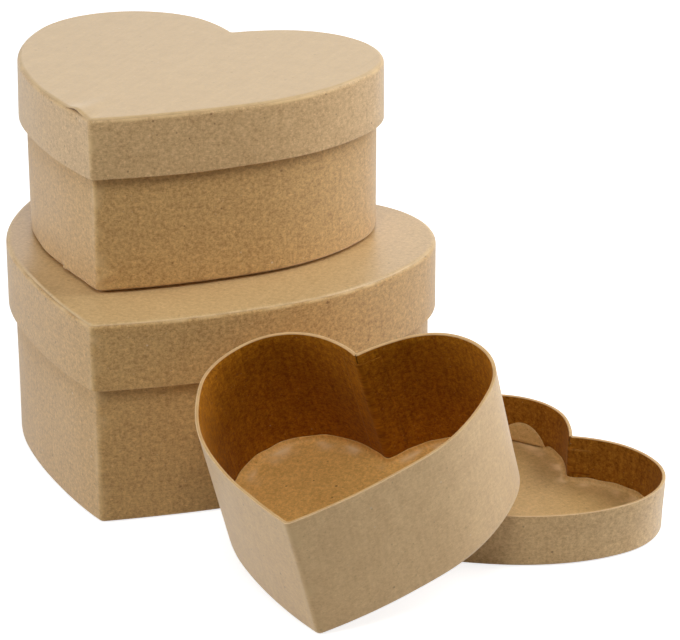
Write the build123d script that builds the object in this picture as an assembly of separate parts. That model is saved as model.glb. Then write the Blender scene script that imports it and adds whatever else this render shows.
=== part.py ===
from build123d import *

import os
from dataclasses import dataclass
from math import atan2, cos, degrees, radians, sin, sqrt, tan

# Nesting set of three heart-shaped gift boxes in kraft board, in millimetres, +Z up.
# Every heart points along its own -Y. The large box stands at the origin with the medium
# box on its lid; the small base leans, open, on its own upturned lid.

# Widths of the three lids across the lobes
large_lid_width = 150.0
medium_lid_width = 127.0
small_lid_width = 101.0

# Heights of the bases, from the surface they stand on to the mouth
large_base_height = 68.2
medium_base_height = 58.3
small_base_height = 45.6

# Depths of the lids, from the outer face to the mouth
large_lid_depth = 22.8
medium_lid_depth = 20.5
small_lid_depth = 18.1

# Heart outline: arc radii as shares of the lid's width
side_radius_share = 1.60
shoulder_radius_share = 0.627
lobe_radius_share = 0.271
cleft_side_radius_share = 0.50

# Headings in degrees, from 0 at the point to 180 at the top, at which an arc hands over
side_end_heading = 48.5
shoulder_end_heading = 85.2
lobe_end_heading = 206.6
top_heading = 180.0

# Tightest bends: inside the fold at the point, and outside the fold at the cleft
point_inside_radius = 0.45
cleft_outside_radius = 0.5

# Board, paper and glue
strip_thickness = 1.2
panel_thickness = 1.6
paper_thickness = 0.25
glue_line = 0.05

# How far the cover sheet stops short of the outside of the wall
cover_margin = 0.4
# Play all round between a base and the inside of its lid
lid_clearance = 1.05

# Paper wrap: the width turned in over the panel, and the cuts that let it lie flat
turn_in_width = 9.0
notch_pitch = 12.0
notch_width = 2.6
notch_root = 1.6
mitre_width = 5.0

# Lining: the lip that climbs the wall, and the tape inside the joint at the cleft
liner_lip_height = 2.6
tape_reach = 7.0
tape_mouth_margin = 1.5
# Gap between the two ends of a wall strip
strip_end_gap = 0.3

# Where the medium box stands on the large lid
medium_x = -10.5
medium_y = 11.45
medium_yaw = -2.0

# Where the small lid lies: beside the large box, round from its point
small_lid_heading = 76.7
small_lid_yaw = -31.8
set_gap = 0.75

# How the small base leans on the rim of its lid
small_base_yaw = 4.9
lean_heading = -16.6
lean_angle = 19.0
lean_gap = 0.35
lean_sideways_share = 0.222

# Cuts run this far past what they cut
overrun = 1.0

# Layers counted inwards from the outside of a wall
strip_inset = paper_thickness + glue_line
strip_inside = strip_inset + strip_thickness
lining_inset = strip_inside + glue_line
lining_inside = lining_inset + paper_thickness
point_outside_radius = point_inside_radius + lining_inside
base_shrink = strip_inside + lid_clearance

# Layers counted from the outer face of a panel
turn_in_level = paper_thickness
panel_level = turn_in_level + paper_thickness
liner_level = panel_level + panel_thickness
panel_stack = liner_level + paper_thickness


def towards(heading):
    """Unit vector of a heading: 0 is the way the heart points, 90 is to its right."""
    return Vector(sin(radians(heading)), -cos(radians(heading)))


def turned(vector, angle):
    """A plan vector turned anticlockwise by an angle in degrees."""
    return vector.rotate(Axis.Z, angle)


@dataclass(frozen=True)
class Bend:
    """One arc of an outline; its radius is negative on the fold that turns inwards."""

    centre: Vector
    radius: float
    start: float
    end: float

    def point(self, heading, inset):
        """Point at a heading, on the parallel that lies inset within the outline."""
        return self.centre + towards(heading) * (self.radius - inset)

    def edge(self, inset, side):
        """The arc as an edge: side is 1 on the right half, -1 for its mirror image."""
        headings = (self.start, (self.start + self.end) / 2, self.end)
        points = [self.point(heading, inset) for heading in headings]
        return ThreePointArc(*[Vector(side * p.X, p.Y) for p in points])

    def length(self):
        """Length of the arc along the outline."""
        return abs(self.radius) * radians(abs(self.end - self.start))


@dataclass(frozen=True)
class Heart:
    """Outline of a tray, shrunk from a lid's outline; parallels share its arcs' centres."""

    width: float
    shrink: float

    def centres(self):
        """Centres of the side, shoulder, lobe and cleft-side arcs, and their radii."""
        side, shoulder = self.width * side_radius_share, self.width * shoulder_radius_share
        lobe, cleft = self.width * lobe_radius_share, self.width * cleft_side_radius_share
        lobe_centre = Vector(self.width / 2 - lobe, 0)
        shoulder_centre = lobe_centre + towards(shoulder_end_heading) * (lobe - shoulder)
        side_centre = shoulder_centre + towards(side_end_heading) * (shoulder - side)
        cleft_centre = lobe_centre + towards(lobe_end_heading) * (lobe - cleft)
        lid_point = self.point_fold(side_centre, side) - Vector(0, point_outside_radius)
        middle = Vector(0, (lobe + lid_point.Y) / 2)
        found = (side_centre, shoulder_centre, lobe_centre, cleft_centre)
        return [centre - middle for centre in found], (side, shoulder, lobe, cleft)

    def point_fold(self, side_centre, side_radius):
        """Centre of the fold at the point, which both side arcs run into."""
        reach = side_radius - point_outside_radius
        return Vector(0, side_centre.Y - sqrt(reach**2 - side_centre.X**2))

    def cleft_fold(self, cleft_centre, cleft_radius):
        """Centre of the fold at the cleft, which both cleft-side arcs run into."""
        reach = cleft_radius + cleft_outside_radius
        return Vector(0, cleft_centre.Y + sqrt(reach**2 - cleft_centre.X**2))

    def bends(self):
        """Bends of the right half, from the point to the cleft."""
        (side_at, shoulder_at, lobe_at, cleft_at), radii = self.centres()
        side, shoulder, lobe, cleft = [radius - self.shrink for radius in radii]
        fold_at = self.point_fold(side_at, side)
        notch_at = self.cleft_fold(cleft_at, cleft)
        side_start = degrees(atan2(-side_at.X, side_at.Y - fold_at.Y))
        cleft_end = top_heading + degrees(atan2(cleft_at.X, notch_at.Y - cleft_at.Y))
        return [
            Bend(fold_at, point_outside_radius, 0, side_start),
            Bend(side_at, side, side_start, side_end_heading),
            Bend(shoulder_at, shoulder, side_end_heading, shoulder_end_heading),
            Bend(lobe_at, lobe, shoulder_end_heading, lobe_end_heading),
            Bend(cleft_at, cleft, lobe_end_heading, cleft_end),
            Bend(notch_at, -cleft_outside_radius, cleft_end, top_heading),
        ]

    def wire(self, inset=0):
        """Closed outline, inset within the tray's outer face."""
        right = [bend.edge(inset, 1) for bend in self.bends()]
        left = [bend.edge(inset, -1) for bend in self.bends()]
        return Wire(right + left)

    def sheet(self, inset, thickness):
        """Flat heart of one thickness, standing on Z = 0."""
        return extrude(Face(self.wire(inset)), amount=thickness)

    def band(self, outside, inside, height):
        """Wall that follows the outline between two insets, standing on Z = 0."""
        return extrude(Face(self.wire(outside), [self.wire(inside)]), amount=height)

    def point_touch(self, heading, inset):
        """Point of the fold at the point that lies furthest along a heading."""
        return self.bends()[0].point(heading, inset)


def wall_strip(heart, height):
    """Board strip folded at the point, its two ends meeting at the cleft."""
    ring = heart.band(strip_inset, strip_inside, height - panel_level)
    slit = Box(strip_end_gap, heart.width, height, align=(Align.CENTER, Align.MIN, Align.MIN))
    return Pos(0, 0, panel_level) * (ring - slit)


def panel(heart):
    """Board heart let in between the walls."""
    return Pos(0, 0, panel_level) * heart.sheet(lining_inset, panel_thickness)


def notches(heart):
    """Wedges cut from the turned-in paper round the lobes, and a mitre at each fold."""
    depth = turn_in_width + overrun
    bends = heart.bends()
    cuts = [(bends[0], 0, mitre_width), (bends[-1], top_heading, mitre_width)]
    for bend in bends[3:5]:
        count = max(1, round(bend.length() / notch_pitch))
        step = (bend.end - bend.start) / count
        cuts += [(bend, bend.start + step * (index + 0.5), notch_width) for index in range(count)]
    wedges = []
    for bend, heading, width in cuts:
        root = bend.point(heading, notch_root)
        far = bend.point(heading, depth)
        half = turned(towards(heading), 90) * (width / 2)
        corners = [root, far + half, far - half]
        for side in (1, -1):
            outline = Polyline(*[Vector(side * p.X, p.Y) for p in corners], close=True)
            wedges.append(extrude(make_face(outline), amount=panel_level + overrun, dir=(0, 0, 1)))
    return wedges


def wrap(heart, height):
    """Paper round the outside of the wall, turned in over the panel and notched there."""
    skirt = heart.band(0, paper_thickness, height - turn_in_level)
    opened = Heart(heart.width, heart.shrink + turn_in_width).wire()
    turn_in = extrude(Face(heart.wire(), [opened]), amount=paper_thickness)
    return Pos(0, 0, turn_in_level) * (skirt + (turn_in - notches(heart)))


def cover(heart):
    """Paper heart over the panel, hiding the turned-in edges of the wrap."""
    return heart.sheet(cover_margin, paper_thickness)


def liner(heart):
    """Paper heart inside, with a lip that climbs the wall all round."""
    floor = heart.sheet(lining_inset, paper_thickness)
    lip = heart.band(lining_inset, lining_inside, paper_thickness + liner_lip_height)
    return Pos(0, 0, liner_level) * (floor + lip)


def joint_tape(heart, height):
    """Paper tape down the inside of the cleft, over the ends of the wall strip."""
    foot = panel_stack + liner_lip_height
    rise = height - tape_mouth_margin - foot
    lining = heart.band(lining_inset, lining_inside, rise)
    reach = Box(2 * tape_reach, heart.width, rise, align=(Align.CENTER, Align.MIN, Align.MIN))
    return Pos(0, 0, foot) * (lining & reach)


def tray(name, heart, height, place):
    """Write the six pieces of a base or a lid, which is a tray with its panel down."""
    is_lid = name.endswith("lid")
    pieces = {
        "rim" if is_lid else "wall": wall_strip(heart, height),
        "top_panel" if is_lid else "floor_panel": panel(heart),
        "wrap": wrap(heart, height),
        "cover": cover(heart),
        "liner": liner(heart),
        "joint_tape": joint_tape(heart, height),
    }
    for piece, shape in pieces.items():
        export_step((place * shape).solid(), f"parts/{name}_{piece}.step")


def small_lid_place(large, small):
    """Upturned on the surface, its left shoulder beside the large lid's right shoulder."""
    large_bend, small_bend = large.bends()[2], small.bends()[2]
    apart = large_bend.radius + small_bend.radius + set_gap
    shoulder = large_bend.centre + towards(small_lid_heading) * apart
    left_centre = Vector(-small_bend.centre.X, small_bend.centre.Y)
    return shoulder - turned(left_centre, small_lid_yaw)


def small_base_place(lid_at, lid_heart, base_heart):
    """Leaning: point on the surface, underside just clear of the point of the lid's rim."""
    downhill = towards(lean_heading)
    sideways = towards(lean_heading + 90)
    rim = lid_heart.point_touch(lean_heading - small_lid_yaw, 0)
    rim_at = lid_at + turned(rim, small_lid_yaw)
    run = (small_lid_depth + lean_gap) / tan(radians(lean_angle))
    foot_at = rim_at + downhill * run + sideways * (lid_heart.width * lean_sideways_share)
    foot = base_heart.point_touch(lean_heading - small_base_yaw, cover_margin)
    lean = Rot(0, 0, lean_heading) * Rot(lean_angle, 0, 0) * Rot(0, 0, small_base_yaw - lean_heading)
    return Pos(foot_at) * lean * Pos(-foot)


os.makedirs("parts", exist_ok=True)

large, medium, small = [
    (Heart(width, 0), Heart(width, base_shrink))
    for width in (large_lid_width, medium_lid_width, small_lid_width)
]
turned_over = Rot(0, 180, 0)

# The large box, closed
large_top = large_base_height + panel_stack
tray("large_base", large[1], large_base_height, Pos(0, 0, 0))
tray("large_lid", large[0], large_lid_depth, Pos(0, 0, large_top) * turned_over)

# The medium box, closed, on the large lid
medium_place = Pos(medium_x, medium_y, large_top) * Rot(0, 0, medium_yaw)
medium_top = medium_base_height + panel_stack
tray("medium_base", medium[1], medium_base_height, medium_place)
tray("medium_lid", medium[0], medium_lid_depth, medium_place * Pos(0, 0, medium_top) * turned_over)

# The small box, open: its lid upturned on the surface and its base leaning on the lid
lid_at = small_lid_place(large[0], small[0])
tray("small_lid", small[0], small_lid_depth, Pos(lid_at) * Rot(0, 0, small_lid_yaw))
tray("small_base", small[1], small_base_height, small_base_place(lid_at, *small))
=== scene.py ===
import logging
import math
from dataclasses import dataclass, replace
from enum import Enum, IntEnum
from functools import cached_property
from typing import NamedTuple

import bpy
import numpy as np
from mathutils import Matrix, Vector


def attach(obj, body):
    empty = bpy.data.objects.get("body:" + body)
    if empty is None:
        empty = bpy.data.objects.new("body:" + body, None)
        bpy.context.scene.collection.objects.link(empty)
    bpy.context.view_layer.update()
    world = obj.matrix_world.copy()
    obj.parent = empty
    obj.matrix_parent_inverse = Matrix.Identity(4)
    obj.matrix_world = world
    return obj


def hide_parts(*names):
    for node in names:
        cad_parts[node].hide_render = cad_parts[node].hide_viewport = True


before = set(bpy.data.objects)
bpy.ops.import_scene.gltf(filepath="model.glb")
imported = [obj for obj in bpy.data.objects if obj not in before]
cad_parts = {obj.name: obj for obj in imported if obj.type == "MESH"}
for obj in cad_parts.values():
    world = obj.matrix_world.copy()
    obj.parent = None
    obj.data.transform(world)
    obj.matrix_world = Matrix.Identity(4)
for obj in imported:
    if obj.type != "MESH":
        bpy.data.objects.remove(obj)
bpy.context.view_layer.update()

# A nesting set of three heart-shaped boxes in kraft board. Sizes are in millimetres and angles
# in degrees until a mesh, a place, a lamp or the camera is made, which is in metres.
MM = 0.001
PAPER_MAP = "paper"
WEAR_MASK = "wear"
RAW_MASK = "raw"

Colour = tuple[float, float, float]
Socket = bpy.types.NodeSocket

log = logging.getLogger("heart_boxes")


class Role(Enum):
    """What a tray is: the endings of the names of its wall and its panel."""

    BASE = ("wall", "floor_panel")
    LID = ("rim", "top_panel")

    @property
    def wall(self) -> str:
        """Ending of the wall's name."""
        return self.value[0]

    @property
    def panel(self) -> str:
        """Ending of the panel's name."""
        return self.value[1]


class Size(IntEnum):
    """The boxes of the set, in the order in which their measures are listed."""

    LARGE = 0
    MEDIUM = 1
    SMALL = 2


class Slot(Enum):
    """Material slots of the record."""

    PAPER = "kraft_paper"
    BOARD = "kraft_board"
    LINING = "lining_paper"


class Paper(Enum):
    """Papers and boards that the boxes are made of."""

    GOLDEN = "kraft_golden"
    PALE = "kraft_pale"
    SMOOTH = "kraft_smooth"
    MOTTLED = "kraft_mottled"
    FACE = "kraft_face"
    ROUGH_FACE = "kraft_rough_face"
    # Inside face of the board: painted shade, darker and redder than the kraft outside
    INSIDE = "board_inside"
    # A still darker copy: painted shade inside the small lid
    DEEPER_SHADED_INSIDE = "board_inside_dim"
    # Lining paper, lightened: painted light on the small base's floor
    LINED = "lining"
    # A darker, duller copy of the lining: painted shade on the small lid's floor
    SHADED_LINING = "lining_pale"
    FILLING = "panel_board"


# Outlines


def towards(heading: np.ndarray | float) -> np.ndarray:
    """Unit plan vectors of headings: 0 is the way a heart points, 90 is to its right.

    Args:
        heading: Headings in degrees, in any shape.

    Returns:
        The vectors, with one more axis of two numbers.
    """
    angle = np.radians(heading)
    return np.stack([np.sin(angle), -np.cos(angle)], axis=-1)


def turned(plan: np.ndarray, angle: float) -> np.ndarray:
    """A plan vector turned anticlockwise by an angle in degrees."""
    cosine, sine = math.cos(math.radians(angle)), math.sin(math.radians(angle))
    return np.array([cosine * plan[0] - sine * plan[1], sine * plan[0] + cosine * plan[1]])


def smooth_step(low: float, high: float, value: np.ndarray | float) -> np.ndarray:
    """Smooth rise from 0 at low to 1 at high."""
    share = np.clip((np.asarray(value, float) - low) / (high - low), 0, 1)
    return share * share * (3 - 2 * share)


@dataclass(frozen=True)
class Arc:
    """One arc of an outline; its radius is negative on the fold that turns inwards."""

    centre: np.ndarray
    radius: float
    start: float
    end: float

    @property
    def length(self) -> float:
        """Length along the outline."""
        return abs(self.radius) * math.radians(abs(self.end - self.start))


@dataclass(frozen=True)
class Ring:
    """Outline points from the cleft down the left side to the point and up the right side.

    The first and the last point are both at the cleft. Outward holds the unit normals, and run
    is the way along the outline from the point, positive to the right.
    """

    points: np.ndarray
    outward: np.ndarray
    run: np.ndarray

    def inset(self, depth: np.ndarray | float) -> np.ndarray:
        """Points of the parallel that lies a depth within the outline.

        Where the fold at the point is tighter than the depth, the two sides meet in a corner.

        Args:
            depth: Depth, either one number or one for each point.

        Returns:
            The points, as many as the outline has.
        """
        plan = self.points - self.outward * np.broadcast_to(depth, self.run.shape)[:, None]
        middle = len(plan) // 2
        crossed = np.flatnonzero((plan[:, 0] * self.run < 0) & (plan[:, 1] < plan[:, 1].mean()))
        if len(crossed) == 0:
            return plan
        reach = int(np.abs(crossed - middle).max()) + 1
        right = middle + reach
        share = plan[right, 0] / (plan[right, 0] - plan[right - 1, 0])
        corner = np.array([0.0, plan[right, 1] + share * (plan[right - 1, 1] - plan[right, 1])])
        shares = np.linspace(0, 1, reach + 1)[:, None]
        for end, way in ((middle - reach, 1), (right, -1)):
            plan[end : middle + way : way] = plan[end] + (corner - plan[end]) * shares
        return plan


@dataclass(frozen=True)
class HeartOutline:
    """Heart of arcs that run into each other, shrunk from the outline of a lid."""

    width: float
    shrink: float = 0.0
    side_radius_share: float = 1.60
    shoulder_radius_share: float = 0.627
    lobe_radius_share: float = 0.271
    cleft_side_radius_share: float = 0.50
    side_end: float = 48.5
    shoulder_end: float = 85.2
    lobe_end: float = 206.6
    top: float = 180.0
    point_radius: float = 2.25
    cleft_radius: float = 0.5
    spacing: float = 1.25
    fold_segments: int = 8

    def point_fold(self, side_centre: np.ndarray, side_radius: float) -> np.ndarray:
        """Centre of the fold at the point, which both side arcs run into."""
        reach = side_radius - self.point_radius
        return np.array([0.0, side_centre[1] - math.sqrt(reach**2 - side_centre[0] ** 2)])

    def cleft_fold(self, cleft_centre: np.ndarray, cleft_radius: float) -> np.ndarray:
        """Centre of the fold at the cleft, which both cleft-side arcs run into."""
        reach = cleft_radius + self.cleft_radius
        return np.array([0.0, cleft_centre[1] + math.sqrt(reach**2 - cleft_centre[0] ** 2)])

    @cached_property
    def arcs(self) -> list[Arc]:
        """Arcs of the right half.

        Returns:
            Point fold, side, shoulder, lobe, cleft side and cleft fold, in that order.
        """
        side = self.width * self.side_radius_share
        shoulder = self.width * self.shoulder_radius_share
        lobe = self.width * self.lobe_radius_share
        cleft = self.width * self.cleft_side_radius_share
        lobe_at = np.array([self.width / 2 - lobe, 0.0])
        shoulder_at = lobe_at + towards(self.shoulder_end) * (lobe - shoulder)
        side_at = shoulder_at + towards(self.side_end) * (shoulder - side)
        cleft_at = lobe_at + towards(self.lobe_end) * (lobe - cleft)
        lid_point = self.point_fold(side_at, side)[1] - self.point_radius
        middle = np.array([0.0, (lobe + lid_point) / 2])
        side_at, shoulder_at, lobe_at, cleft_at = (
            centre - middle for centre in (side_at, shoulder_at, lobe_at, cleft_at)
        )
        side, shoulder, lobe, cleft = (
            radius - self.shrink for radius in (side, shoulder, lobe, cleft)
        )
        fold_at = self.point_fold(side_at, side)
        notch_at = self.cleft_fold(cleft_at, cleft)
        side_start = math.degrees(math.atan2(-side_at[0], side_at[1] - fold_at[1]))
        cleft_end = self.top + math.degrees(math.atan2(cleft_at[0], notch_at[1] - cleft_at[1]))
        return [
            Arc(fold_at, self.point_radius, 0.0, side_start),
            Arc(side_at, side, side_start, self.side_end),
            Arc(shoulder_at, shoulder, self.side_end, self.shoulder_end),
            Arc(lobe_at, lobe, self.shoulder_end, self.lobe_end),
            Arc(cleft_at, cleft, self.lobe_end, cleft_end),
            Arc(notch_at, -self.cleft_radius, cleft_end, self.top),
        ]

    @property
    def shoulder(self) -> Arc:
        """The right shoulder."""
        return self.arcs[2]

    @cached_property
    def ring(self) -> Ring:
        """The outline sampled all round.

        Returns:
            Points close enough together to look smooth.
        """
        points, outward, run = [], [], []
        done = 0.0
        for index, arc in enumerate(self.arcs):
            count = max(self.fold_segments, math.ceil(arc.length / self.spacing))
            share = np.linspace(0, 1, count + 1)[0 if index == 0 else 1 :]
            normal = towards(arc.start + (arc.end - arc.start) * share)
            points.append(arc.centre + normal * arc.radius)
            outward.append(normal)
            run.append(done + arc.length * share)
            done += arc.length
        points, outward, run = (np.concatenate(part) for part in (points, outward, run))
        mirror = np.array([-1.0, 1.0])
        return Ring(
            np.concatenate([points[:0:-1] * mirror, points]),
            np.concatenate([outward[:0:-1] * mirror, outward]),
            np.concatenate([-run[:0:-1], run]),
        )

    @property
    def half_length(self) -> float:
        """Way along the outline from the point to the cleft."""
        return float(self.ring.run[-1])

    @property
    def length(self) -> float:
        """Way right round the outline."""
        return 2 * self.half_length

    def point_touch(self, heading: float, inset: float) -> np.ndarray:
        """Point of the fold at the point that lies furthest along a heading."""
        fold = self.arcs[0]
        return fold.centre + towards(heading) * (fold.radius - inset)


# Unevenness


@dataclass(frozen=True)
class Swell:
    """Slow unevenness of a wall that was rolled up by hand: a seeded sum of waves."""

    depth: float
    seed: int
    waves: int = 7
    least_harmonic: int = 2
    most_harmonic: int = 11
    upright_length: float = 55.0

    def push(self, run: np.ndarray, height: float, length: float) -> np.ndarray:
        """Way that a wall stands outwards.

        Args:
            run: Way along the outline.
            height: Height in the tray.
            length: Way right round the outline.

        Returns:
            Outward shift at each place.
        """
        rng = np.random.default_rng(self.seed)
        total = np.zeros(run.shape)
        for _ in range(self.waves):
            harmonic = rng.integers(self.least_harmonic, self.most_harmonic)
            phase = rng.uniform(0, 2 * math.pi)
            lean = rng.uniform(-1, 1)
            turns = harmonic * run / length + lean * height / self.upright_length
            total += np.sin(2 * math.pi * turns + phase)
        return total * self.depth / math.sqrt(self.waves)


@dataclass(frozen=True)
class Dent:
    """A soft oval dent in a wall, long along its lean; a negative depth makes a bulge."""

    run: float
    height: float
    length: float
    breadth: float
    depth: float
    lean: float = 0.0

    def push(self, run: np.ndarray, height: float) -> np.ndarray:
        """Way that a wall stands outwards, below 0 within a dent.

        Args:
            run: Way along the outline.
            height: Height in the tray.

        Returns:
            Outward shift at each place.
        """
        cosine, sine = math.cos(math.radians(self.lean)), math.sin(math.radians(self.lean))
        along = (run - self.run) * cosine + (height - self.height) * sine
        across = (height - self.height) * cosine - (run - self.run) * sine
        return -self.depth * np.exp(-((along / self.length) ** 2) - (across / self.breadth) ** 2)


@dataclass(frozen=True)
class Lift:
    """A stretch of a cover's edge that has come unstuck and stands off the wrap."""

    run: float
    length: float
    rise: float
    reach: float = 6.0

    def stand(self, run: np.ndarray, inset: float) -> np.ndarray:
        """Way that the cover stands off, most at its edge."""
        along = np.exp(-(((run - self.run) / self.length) ** 2))
        return self.rise * along * (1 - smooth_step(0, self.reach, inset))


@dataclass(frozen=True)
class Flap:
    """A stretch of lining never pressed into the corner: a flat crescent across the lobe."""

    run: float
    half_length: float
    rise: float
    gap: float = 0.4
    fade: float = 2.5
    rows: int = 6

    def cover(self, run: np.ndarray) -> np.ndarray:
        """Share of the lip that the flap takes away: 1 behind it and 0 beside it."""
        beyond = np.abs(run - self.run) - self.half_length
        return 1 - smooth_step(-self.fade, self.fade, beyond)


# Meshes


class Spot(NamedTuple):
    """One point of a profile: its place in the tray, and how rubbed and how raw it is."""

    inset: float
    height: float
    wear: float = 0.0
    raw: float = 0.0


@dataclass
class Rows:
    """Rows of points along an outline, with their places on the paper and their masks."""

    points: np.ndarray
    paper: np.ndarray
    wear: np.ndarray
    raw: np.ndarray

    @property
    def layers(self) -> tuple[np.ndarray, ...]:
        """The four arrays, in order."""
        return self.points, self.paper, self.wear, self.raw

    @property
    def first(self) -> "Rows":
        """The first row alone."""
        return Rows(*(layer[:1] for layer in self.layers))

    @property
    def closed(self) -> "Rows":
        """Rows without the last column, which doubles the first one at the cleft."""
        return self.columns(slice(None, -1))

    def columns(self, kept: np.ndarray | slice) -> "Rows":
        """Some of the columns."""
        return Rows(*(layer[:, kept] for layer in self.layers))

    @staticmethod
    def stacked(*parts: "Rows") -> "Rows":
        """Rows of several parts, one after another."""
        return Rows(*(np.concatenate(layers) for layers in zip(*(part.layers for part in parts))))


class Surface:
    """Points, faces and masks of one piece, gathered before its mesh is made."""

    def __init__(self) -> None:
        """Start with nothing."""
        self.points: list[np.ndarray] = []
        self.paper: list[np.ndarray] = []
        self.masks: dict[str, list[np.ndarray]] = {WEAR_MASK: [], RAW_MASK: []}
        self.faces: list[tuple[int, ...]] = []
        self.count = 0

    def add_points(
        self,
        points: np.ndarray,
        paper: np.ndarray,
        wear: np.ndarray | float = 0.0,
        raw: np.ndarray | float = 0.0,
    ) -> int:
        """Take in points with their paper places and masks.

        Args:
            points: Places in the tray.
            paper: Places on the sheet that the piece is cut from.
            wear: Share of rubbed edge.
            raw: Share of cut edge.

        Returns:
            Number of the first point.
        """
        start = self.count
        size = len(points)
        self.points.append(points)
        self.paper.append(paper)
        self.masks[WEAR_MASK].append(np.broadcast_to(wear, size))
        self.masks[RAW_MASK].append(np.broadcast_to(raw, size))
        self.count += size
        return start

    def add_rows(self, rows: Rows, around: bool, section: bool) -> int:
        """Join rows of points with quads.

        Args:
            rows: Rows of equal length, listed up the outside and down the inside of a wall.
            around: Whether each row closes on itself.
            section: Whether the last row joins the first.

        Returns:
            Number of the first point.
        """
        count, size = rows.wear.shape
        points, paper = rows.points.reshape(-1, 3), rows.paper.reshape(-1, 3)
        start = self.add_points(points, paper, rows.wear.ravel(), rows.raw.ravel())
        low = np.arange(count if section else count - 1)
        left = np.arange(size if around else size - 1)
        row, column = (grid.ravel() for grid in np.meshgrid(low, left, indexing="ij"))
        this_row, next_row = row * size, (row + 1) % count * size
        beside = (column + 1) % size
        corners = [this_row + column, this_row + beside, next_row + beside, next_row + column]
        self.faces += [tuple(face) for face in (start + np.stack(corners, axis=1)).tolist()]
        if section and not around:
            first = start + np.arange(count) * size
            self.faces += [tuple(first.tolist()), tuple((first + size - 1)[::-1].tolist())]
        return start

    def add_pole(self, row_start: int, size: int, last: bool) -> None:
        """Close a row with a fan to its middle.

        Args:
            row_start: Number of the row's first point.
            size: Points in the row.
            last: Whether the row is the last of its rows, and not the first.
        """
        ring = np.concatenate(self.points)[row_start : row_start + size]
        paper = np.concatenate(self.paper)[row_start : row_start + size]
        pole = self.add_points(ring.mean(0, keepdims=True), paper.mean(0, keepdims=True))
        for column in range(size):
            edge = (row_start + column, row_start + (column + 1) % size)
            self.faces.append((*edge, pole) if last else (*edge[::-1], pole))

    def mesh(self, name: str) -> bpy.types.Mesh:
        """Make the gathered piece's mesh.

        Args:
            name: Name of the mesh.

        Returns:
            A smooth mesh in metres, with its paper places and masks as attributes.
        """
        mesh = bpy.data.meshes.new(name)
        mesh.from_pydata((np.concatenate(self.points) * MM).tolist(), [], self.faces)
        mesh.polygons.foreach_set("use_smooth", np.ones(len(mesh.polygons), bool))
        paper = mesh.attributes.new(PAPER_MAP, "FLOAT_VECTOR", "POINT")
        paper.data.foreach_set("vector", np.concatenate(self.paper).astype(np.float32).ravel())
        for mask, parts in self.masks.items():
            attribute = mesh.attributes.new(mask, "FLOAT", "POINT")
            attribute.data.foreach_set("value", np.concatenate(parts).astype(np.float32))
        mesh.update()
        return mesh


# Shaders

# Places of a mix node's colour sockets, among those for numbers and vectors
MIX_SHARE, MIX_FIRST, MIX_SECOND, MIX_RESULT = 0, 6, 7, 2


class Noise(NamedTuple):
    """A cloudy noise: how fine it is, and how much finer noise lies over it."""

    scale: float
    detail: float
    roughness: float


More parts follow.
